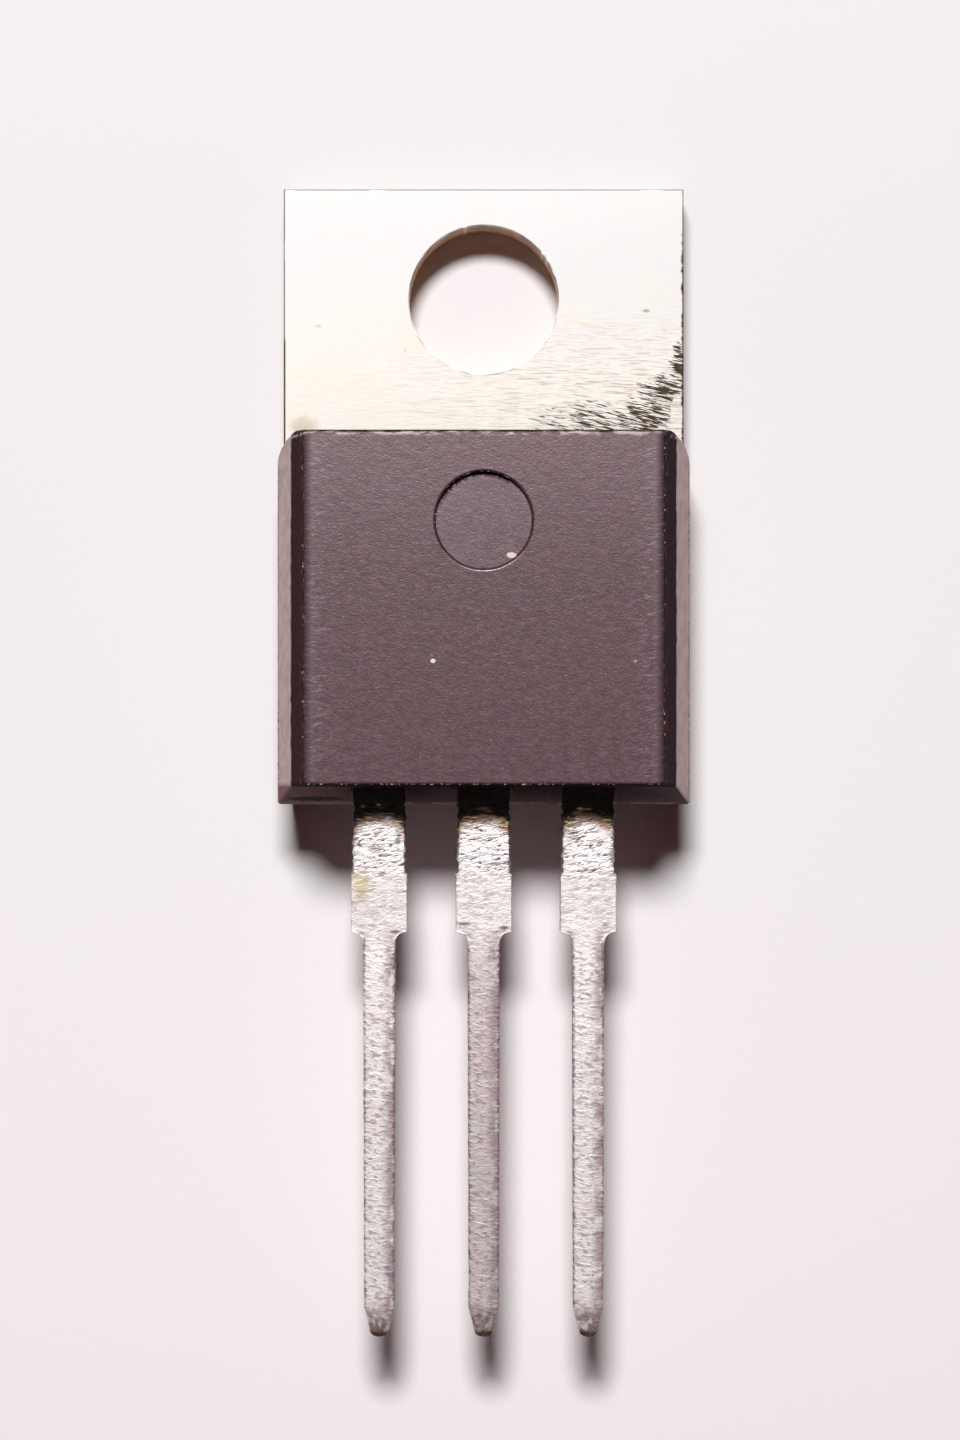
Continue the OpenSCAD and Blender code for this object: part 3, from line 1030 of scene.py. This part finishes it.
@dataclass
class LeadSkin:
    """The rippled, ragged-edged outside of one lead, from inside the moulding to its tip.

    Attributes:
        form: The lead's sizes.
        centre_x: Where the lead lies.
        seed: Which ripples it has.
        start_y: Where the skin begins, hidden in the moulding.
        pitch: Length of one step along it.
        across: Points across its faces.
        upright: Points down its edges.
        edge_r: Radius of its long edges.
        crown: How much lower its faces lie at their sides than along the middle.
        near_y: Where the ripples begin to grow towards the moulding.
        torn_y: Where the skin begins to tear, close to the moulding.
    """

    form: LeadForm
    centre_x: float
    seed: float
    start_y: float = -12.1
    pitch: float = 0.024
    across: int = 13
    upright: int = 3
    edge_r: float = 0.06
    crown: float = 0.025
    near_y: float = -17.0
    torn_y: float = -14.4

    def ring(self, half_w: float, half_t: float) -> list[tuple[float, float, float, float]]:
        """Gives the outline of a section.

        Args:
            half_w: Half the section's width.
            half_t: Half its thickness.

        Returns:
            For each point its x and z, and the outward direction there.
        """
        r = self.edge_r
        flat = [-(half_w - r) + 2 * (half_w - r) * i / (self.across - 1) for i in range(self.across)]
        wall = [(half_t - r) - 2 * (half_t - r) * i / (self.upright - 1) for i in range(self.upright)]
        s = math.sqrt(0.5)
        cx, cz = half_w - r + r * s, half_t - r + r * s
        points = [(x, half_t, 0, 1) for x in flat] + [(cx, cz, s, s)]
        points += [(half_w, z, 1, 0) for z in wall] + [(cx, -cz, s, -s)]
        points += [(-x, -half_t, 0, -1) for x in flat] + [(-cx, -cz, -s, -s)]
        points += [(-half_w, -z, -1, 0) for z in wall] + [(-cx, cz, -s, s)]
        return points

    def swell(self, x: float, y: float, z: float, side: float) -> float:
        """How far the skin stands in from the plain form at a place, as a negative length.

        Args:
            x: Place across the lead.
            y: Place along it.
            z: Height.
            side: 1 on its upright edges, 0 on its faces.

        Returns:
            The offset along the outward direction.
        """
        near = rise(y, self.near_y, 3.0)
        bend = 0.15 * noise.noise(Vector((x / 0.4, y / 0.4, self.seed)))
        skew = Vector((x / 0.3, (y + 0.25 * x + bend) / 0.1, z / 0.3))
        ripple = noise.noise(skew + Vector((self.seed, 0, 0)))
        ragged = wander(Vector((x * 0.3, y, z * 0.5)), 0.13, self.seed + 5)
        broad = wander(Vector((x, y, z)), 0.9, self.seed + 9)
        torn = rise(y, self.torn_y, 0.4)
        face = -(0.0022 + 0.002 * near + 0.005 * torn) * (1 + ripple)
        edge = -(0.015 + 0.008 * near + 0.05 * torn) * (0.15 + ragged)
        fall = self.crown * (x / self.form.half_width(y)) ** 2 if side < 0.5 else 0.0
        return (1 - side) * face + side * edge - 0.004 * (1 + broad) - fall

    def stations(self) -> list[float]:
        """Places along the lead at which a section is made."""
        count = int((self.start_y - self.form.tip_y) / self.pitch)
        step = (self.start_y - self.form.tip_y) / count
        return [self.start_y - step * i for i in range(count + 1)]

    def build(self) -> BMesh:
        """Makes the skin as a closed solid, in metres."""
        bm = bmesh.new()
        mid_z = self.form.low_z + self.form.thick / 2
        rings = []
        for y in self.stations():
            fade = rise(y, self.form.exit_y + 0.1, -0.1)
            ring = []
            for x, z, nx, nz in self.ring(self.form.half_width(y) + 1e-6, self.form.half_thickness(y)):
                push = self.swell(x, y, z, abs(nx)) * fade - 0.0005
                at = Vector((self.centre_x + x + nx * push, y, mid_z + z + nz * push))
                ring.append(bm.verts.new(at * MM))
            rings.append(ring)
        for near, far in zip(rings, rings[1:]):
            for i in range(len(near)):
                j = (i + 1) % len(near)
                bm.faces.new((near[i], near[j], far[j], far[i]))
        bm.faces.new(list(reversed(rings[0])))
        bm.faces.new(rings[-1])
        bmesh.ops.recalc_face_normals(bm, faces=bm.faces)
        return bm


@dataclass
class StampedMetal:
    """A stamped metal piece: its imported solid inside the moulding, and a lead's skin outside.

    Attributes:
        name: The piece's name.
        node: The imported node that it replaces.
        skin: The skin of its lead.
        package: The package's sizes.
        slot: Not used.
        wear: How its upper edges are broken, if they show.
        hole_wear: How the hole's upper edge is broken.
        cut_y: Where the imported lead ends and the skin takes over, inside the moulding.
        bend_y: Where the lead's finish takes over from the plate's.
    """

    name: str
    node: Node
    skin: LeadSkin
    package: PackageForm
    slot: Slot
    wear: EdgeWear | None = None
    hole_wear: EdgeWear | None = None
    cut_y: float = -12.3
    bend_y: float = -10.5

    def on_top(self, a: Vector, b: Vector) -> bool:
        """Says whether an edge lies on the tab's upper face, outside the moulding."""
        level = max(abs(a.z - self.package.plate_t), abs(b.z - self.package.plate_t)) < 0.01
        return level and min(a.y, b.y) > self.package.tab_step_y - 0.01

    def hole_edge(self, a: Vector, b: Vector) -> bool:
        """Says whether an edge is the hole's upper edge."""
        return self.on_top(a, b) and max(a.xy.length, b.xy.length) < self.package.hole_r + 0.05

    def outer_edge(self, a: Vector, b: Vector) -> bool:
        """Says whether an edge is one of the tab's other upper edges."""
        return self.on_top(a, b) and max(a.xy.length, b.xy.length) > self.package.hole_r + 0.05

    def build(self, materials: list[Material]) -> Object:
        """Makes the piece.

        Args:
            materials: The plate's finish and then the lead's, or the lead's alone.

        Returns:
            The finished object.
        """
        bm = packed_copy(self.node)
        geometry = list(bm.verts) + list(bm.edges) + list(bm.faces)
        cut = bmesh.ops.bisect_plane(
            bm, geom=geometry, plane_co=(0, self.cut_y * MM, 0), plane_no=(0, -1, 0), clear_outer=True
        )
        rim = [g for g in cut["geom_cut"] if isinstance(g, BMEdge)]
        bmesh.ops.contextual_create(bm, geom=rim)
        for wear, chosen in ((self.wear, self.outer_edge), (self.hole_wear, self.hole_edge)):
            if wear:
                wear.break_edges(bm, chosen)
        bmesh.ops.recalc_face_normals(bm, faces=bm.faces)
        inner = solid_mesh(self.name, bm)
        obj = new_object(self.name, inner)
        outer = solid_mesh(self.name + "_skin", self.skin.build(), 60)
        tool = new_object(self.name + "_skin", outer)
        last = len(materials) - 1
        for poly in outer.polygons:
            poly.material_index = last
        for poly in inner.polygons:
            poly.material_index = last if poly.center.y < self.bend_y * MM else 0
        for mesh in (inner, outer):
            for material in materials:
                mesh.materials.append(material)
        union = obj.modifiers.new("join", "BOOLEAN")
        union.operation = "UNION"
        union.solver = "EXACT"
        union.object = tool
        settle(obj, flat_faces=True)
        trim_to(obj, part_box(self.node.value))
        bpy.data.objects.remove(tool)
        finish_piece(obj, (self.node,))
        return obj


@dataclass
class MouldedCase:
    """The epoxy moulding with its edges broken as they leave the mould.

    Attributes:
        package: The package's sizes.
        wear: How its edges are broken.
    """

    package: PackageForm
    wear: EdgeWear = field(default_factory=lambda: EdgeWear(0.05, 0.11, 0.03, 0.25, 3.0))

    def marks(self, p: Vector) -> set[str]:
        """Names the outer surfaces and levels that a point lies on."""
        near = 0.004
        form = self.package
        on = {
            "top": abs(p.z - form.body_h) < near,
            "shoulder": abs(p.z - form.shoulder_z) < near,
            "parting": abs(p.z - form.parting_z) < near,
            "side": abs(abs(p.x) - form.half_width(p.z)) < near,
            "lead_end": abs(p.y - form.lead_end(p.z)) < near,
            "tab_end": abs(p.y - form.tab_end(p.z)) < near,
            "dimple": abs(math.hypot(p.x, p.y - form.dimple_y) - form.dimple_r) < 0.02,
        }
        return {name for name, true in on.items() if true}

    def form_edge(self, a: Vector, b: Vector) -> bool:
        """Says whether an edge is one of the moulding's outer edges."""
        shared = self.marks(a) & self.marks(b)
        levels = shared & {"top", "parting", "shoulder"}
        walls = shared & {"side", "lead_end", "tab_end", "dimple"}
        return (bool(levels) and bool(walls)) or len(walls) > 1

    def build(self, material: Material) -> Object:
        """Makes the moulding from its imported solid."""
        bm = packed_copy(Node.BODY)
        self.wear.break_edges(bm, self.form_edge)
        obj = new_object("moulded_case", solid_mesh("moulded_case", bm))
        settle(obj, flat_faces=True)
        trim_to(obj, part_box(Node.BODY.value))
        finish_piece(obj, (Node.BODY,), material)
        return obj


@dataclass
class EdgeCrumbs:
    """Crumbs of resin flash left along an edge, placed by a Geometry Nodes tree.

    Attributes:
        name: The piece's name.
        path: The edge's points.
        spacing: Distance between the places where a crumb may lie.
        share: Share of those places that has one.
        most: Largest half sizes of a crumb along x, y and z.
        seed: Which places they are.
        least: Smallest half sizes.
    """

    name: str
    path: list[tuple[float, float, float]]
    spacing: float
    share: float
    most: tuple[float, float, float]
    seed: int
    least: tuple[float, float, float] = (0.008, 0.008, 0.008)

    def tree(self, material: Material) -> bpy.types.GeometryNodeTree:
        """Builds the tree that lays crumbs along a line."""
        tree = bpy.data.node_groups.new(self.name, "GeometryNodeTree")
        interface = tree.interface
        interface.new_socket("Line", in_out="INPUT", socket_type="NodeSocketGeometry")
        for name in ("Spacing", "Share"):
            interface.new_socket(name, in_out="INPUT", socket_type="NodeSocketFloat")
        for name in ("Least", "Most"):
            interface.new_socket(name, in_out="INPUT", socket_type="NodeSocketVector")
        interface.new_socket("Crumbs", in_out="OUTPUT", socket_type="NodeSocketGeometry")
        add = partial(add_node, tree)
        given = add("NodeGroupInput").outputs
        curve = add("GeometryNodeMeshToCurve", None, None, {"Mesh": given["Line"]})
        points = add(
            "GeometryNodeResampleCurve", {"mode": "LENGTH"}, None,
            {"Curve": curve.outputs["Curve"], "Length": given["Spacing"]},
        )
        crumb = add("GeometryNodeMeshIcoSphere", None, {"Radius": 1.0, "Subdivisions": 2})
        picked = add(
            "FunctionNodeRandomValue", {"data_type": "BOOLEAN"}, {"Seed": self.seed},
            {"Probability": given["Share"]},
        )
        size = add(
            "FunctionNodeRandomValue", {"data_type": "FLOAT_VECTOR"}, {"Seed": self.seed + 1},
            {0: given["Least"], 1: given["Most"]},
        )
        turn = add(
            "FunctionNodeRandomValue", {"data_type": "FLOAT_VECTOR"},
            {0: (-0.5, -0.5, -0.5), 1: (0.5, 0.5, 0.5), "Seed": self.seed + 2},
        )
        placed = add("GeometryNodeInstanceOnPoints", None, None, {
            "Points": points.outputs["Curve"],
            "Selection": picked.outputs[RANDOM_BOOLEAN],
            "Instance": crumb.outputs["Mesh"],
            "Rotation": turn.outputs[0],
            "Scale": size.outputs[0],
        })
        real = add("GeometryNodeRealizeInstances", None, None, {0: placed.outputs[0]})
        bumpy = add("ShaderNodeTexNoise", None, {"Scale": 1 / (0.04 * MM), "Detail": 1.0})
        shift = add(
            "ShaderNodeVectorMath", {"operation": "SUBTRACT"}, {1: (0.5, 0.5, 0.5)},
            {0: bumpy.outputs["Color"]},
        )
        push = add(
            "ShaderNodeVectorMath", {"operation": "SCALE"}, {"Scale": 0.03 * MM}, {0: shift.outputs[0]}
        )
        moved = add(
            "GeometryNodeSetPosition", None, None, {"Geometry": real.outputs[0], "Offset": push.outputs[0]}
        )
        dressed = add("GeometryNodeSetMaterial", None, {"Material": material}, {"Geometry": moved.outputs[0]})
        add("NodeGroupOutput", None, None, {0: dressed.outputs[0]})
        return tree

    def build(self, material: Material, slot: Slot) -> Object:
        """Makes the crumbs as one plain mesh."""
        line = bpy.data.meshes.new(self.name + "_line")
        places = [tuple(c * MM for c in p) for p in self.path]
        line.from_pydata(places, [(i, i + 1) for i in range(len(places) - 1)], [])
        obj = new_object(self.name, line)
        laid = obj.modifiers.new("crumbs", "NODES")
        laid.node_group = self.tree(material)
        wanted = {
            "Spacing": self.spacing * MM, "Share": self.share,
            "Least": tuple(s * MM for s in self.least), "Most": tuple(s * MM for s in self.most),
        }
        for item in laid.node_group.interface.items_tree:
            if item.name in wanted:
                laid[item.identifier] = wanted[item.name]
        settle(obj)
        for poly in obj.data.polygons:
            poly.use_smooth = True
        finish_piece(obj, (), material)
        return obj


@dataclass
class SealedPieces:
    """The die, its solder and the bond wires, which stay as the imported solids."""

    solder: Grained = Grained("die_attach_solder", 0.5, 1.0, light="#8b8c90", dark="#6d6e73")
    silicon: Grained = Grained("polished_silicon", 0.2, 0.6, light="#4a4d57", dark="#3c3f49", grain_mm=0.3)
    wire: Grained = Grained("drawn_aluminium_wire", 0.3, 1.0, light="#dcdcde", dark="#c2c2c6")

    def dress(self) -> None:
        """Gives each sealed node its material."""
        wires = (Node.INPUT_WIRE, Node.OUTPUT_WIRE, Node.SENSE_WIRE, Node.GROUND_WIRE)
        pairs = [(Node.SOLDER, self.solder.build()), (Node.DIE, self.silicon.build())]
        wire = self.wire.build()
        pairs += [(node, wire) for node in wires]
        for node, material in pairs:
            obj = bpy.data.objects[node.value]
            for slot in obj.material_slots:
                slot.material = material
            if not obj.material_slots:
                obj.data.materials.append(material)
            LOG.info("%s: dressed", node.value)


@dataclass
class Studio:
    """Pale card, an oval lamp beyond the tab, a very dim dome, and the camera.

    Attributes:
        card_half: Half width of the card, in metres.
        lamp_at: Place of the lamp, in millimetres.
        lamp_size: Its width and height, in millimetres.
        lamp_power: Its power in watts.
        dome: Colour of the dome where it is seen or mirrored.
        dome_warm: Its colour as a light.
        dome_fill: Level of the dome as a light.
        dome_high: Its level overhead as metal and plastic reflect it.
        dome_rim: Its level at the horizon as they reflect it.
        camera_at: Place of the camera, in millimetres.
        focal: Focal length in millimetres on a 36 mm long side.
    """

    card_half: float = 1.5
    lamp_at: tuple[float, float, float] = (-13.5, 117.0, 215.0)
    lamp_size: tuple[float, float] = (74.0, 52.0)
    lamp_power: float = 0.75
    dome: str = "#fff4f2"
    dome_warm: str = "#ff6a64"
    dome_fill: float = 0.026
    dome_high: float = 0.2
    dome_rim: float = 0.08
    camera_at: tuple[float, float, float] = (-0.09, -10.4, 90.0)
    focal: float = 89.6

    def card(self, material: Material) -> None:
        """Lays the card under the part."""
        mesh = bpy.data.meshes.new("card")
        h = self.card_half
        mesh.from_pydata([(-h, -h, 0), (h, -h, 0), (h, h, 0), (-h, h, 0)], [], [(0, 1, 2, 3)])
        obj = new_object("card", mesh)
        mesh.materials.append(material)

    def lamp(self) -> None:
        """Hangs the lamp with its long side across the leads."""
        data = bpy.data.lights.new("oval_lamp", "AREA")
        data.shape = "ELLIPSE"
        data.size, data.size_y = (length * MM for length in self.lamp_size)
        data.energy = self.lamp_power
        obj = bpy.data.objects.new("oval_lamp", data)
        place = Vector(self.lamp_at) * MM
        back = (place - Vector((0, self.camera_at[1] * MM, 0))).normalized()
        side = (Vector((1, 0, 0)) - back * back.x).normalized()
        turn = Matrix((side, back.cross(side), back)).transposed()
        obj.matrix_world = Matrix.Translation(place) @ turn.to_4x4()
        bpy.context.scene.collection.objects.link(obj)

    def sky(self) -> None:
        """Makes the dome: a weak fill, white to the camera, bright overhead in reflections."""
        world = bpy.data.worlds.new("dome")
        bpy.context.scene.world = world
        world.use_nodes = True
        weave = Weave(world.node_tree)
        tree = weave.tree
        way = add_node(tree, "ShaderNodeTexCoord").outputs["Generated"]
        height = add_node(tree, "ShaderNodeSeparateXYZ", None, None, {0: way}).outputs["Z"]
        mirrored = weave.ramp(height, 0.45, 0.95, self.dome_rim, self.dome_high)
        ray = add_node(tree, "ShaderNodeLightPath").outputs
        bounced = weave.combine("ADD", ray["Is Glossy Ray"], ray["Is Transmission Ray"])
        soft = add_node(
            tree, "ShaderNodeMix", {"data_type": "FLOAT"}, {2: self.dome_fill}, {0: bounced, 3: mirrored}
        )
        level = add_node(
            tree, "ShaderNodeMix", {"data_type": "FLOAT"}, {3: 1.0},
            {0: ray["Is Camera Ray"], 2: soft.outputs[0]},
        )
        seen = weave.combine("ADD", bounced, ray["Is Camera Ray"])
        ground = tree.nodes["Background"]
        tree.links.new(weave.tint(seen, self.dome_warm, self.dome), ground.inputs["Color"])
        tree.links.new(level.outputs[0], ground.inputs["Strength"])

    def camera(self) -> None:
        """Sets the camera straight above the part."""
        data = bpy.data.cameras.new("camera")
        data.lens = self.focal
        data.clip_start = 0.001
        obj = bpy.data.objects.new("camera", data)
        obj.location = Vector(self.camera_at) * MM
        bpy.context.scene.collection.objects.link(obj)
        bpy.context.scene.camera = obj


def package_crumbs(form: PackageForm) -> list[EdgeCrumbs]:
    """Lists the rows of flash crumbs along the moulding's edges.

    Args:
        form: The package's sizes.

    Returns:
        One row along each edge that has them.
    """
    top, low = form.body_h, form.lead_end(form.body_h)
    side, tab = form.half_width(top), form.tab_end(top) - 0.01
    out, rim, lip = side + 0.02, top - 0.05, top - 0.03
    far, floor = form.lead_end(form.parting_z + 0.04) + 0.03, form.parting_z + 0.03
    seam = form.parting_z + 0.06
    wide = form.half_width(seam)
    turns = [math.radians(a) for a in range(60, 195, 5)]
    ring = [
        (form.dimple_r * math.cos(a), form.dimple_y + form.dimple_r * math.sin(a), top - 0.04) for a in turns
    ]
    rows = (
        ("lead_end", [(-side, low, rim), (side, low, rim)], 0.06, 0.4, (0.05, 0.024, 0.02), 3),
        ("parting", [(-4.9, far, floor), (4.9, far, floor)], 0.05, 0.5, (0.045, 0.02, 0.012), 8),
        ("left", [(-out, -11.8, rim), (-out, -3.7, rim)], 0.07, 0.13, (0.026, 0.06, 0.02), 12),
        ("right", [(out, -11.8, rim), (out, -3.7, rim)], 0.07, 0.1, (0.022, 0.05, 0.018), 21),
        ("left_parting", [(-wide, -12.2, seam), (-wide, -4.3, seam)], 0.07, 0.5, (0.02, 0.05, 0.03), 33),
        ("right_parting", [(wide, -12.2, seam), (wide, -4.3, seam)], 0.07, 0.5, (0.02, 0.05, 0.03), 41),
        ("dimple", ring, 0.05, 0.45, (0.035, 0.016, 0.012), 63),
        ("tab_end", [(-4.2, tab, lip), (4.2, tab, lip)], 0.1, 0.25, (0.03, 0.012, 0.012), 52),
    )
    return [EdgeCrumbs(f"flash_{edge}", *row) for edge, *row in rows]


def main() -> None:
    """Builds every piece in order."""
    logging.basicConfig(level=logging.INFO, format="%(message)s")
    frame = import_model()
    LOG.info("%d packed nodes", len(frame["nodes"]))
    scene = bpy.context.scene
    scene.view_settings.view_transform = "Standard"
    package = PackageForm()
    lead = LeadForm()

    studio = Studio()
    studio.camera()
    studio.lamp()
    studio.sky()
    studio.card(PaleCard("pale_card", 0.9).build())

    plate_finish = BrushedTin("brushed_tin_on_copper", 0.6, 1.0).build()
    lead_finish = SolderDip("dipped_solder_on_copper", 0.45, 1.0).build()
    epoxy = MouldingCompound("moulded_epoxy", 0.33, 0.0, 1.55).build()

    StampedMetal(
        "tab_and_centre_lead", Node.FRAME, LeadSkin(lead, 0.0, 2.0), package, Slot.PLATE,
        EdgeWear(0.03, 0.08, 0.018, 0.2, 11.0), EdgeWear(0.018, 0.08, 0.03, 0.3, 4.0),
    ).build([plate_finish, lead_finish])
    outer_leads = (
        ("input_lead_metal", Node.INPUT_LEAD, -lead.pitch, 17.0),
        ("output_lead_metal", Node.OUTPUT_LEAD, lead.pitch, 31.0),
    )
    for name, node, centre_x, seed in outer_leads:
        skin = LeadSkin(lead, centre_x, seed)
        StampedMetal(name, node, skin, package, Slot.LEAD).build([lead_finish])
    MouldedCase(package).build(epoxy)
    flash_finish = Grained("pale_resin_flash", 0.6, 0.0, 1.5, "#a8928e", "#5f4b48", 0.12, 0.1, 0.01).build()
    for crumbs in package_crumbs(package):
        crumbs.build(flash_finish, Slot.MOULDING)
    SealedPieces().dress()


if __name__ == "__main__":
    main()
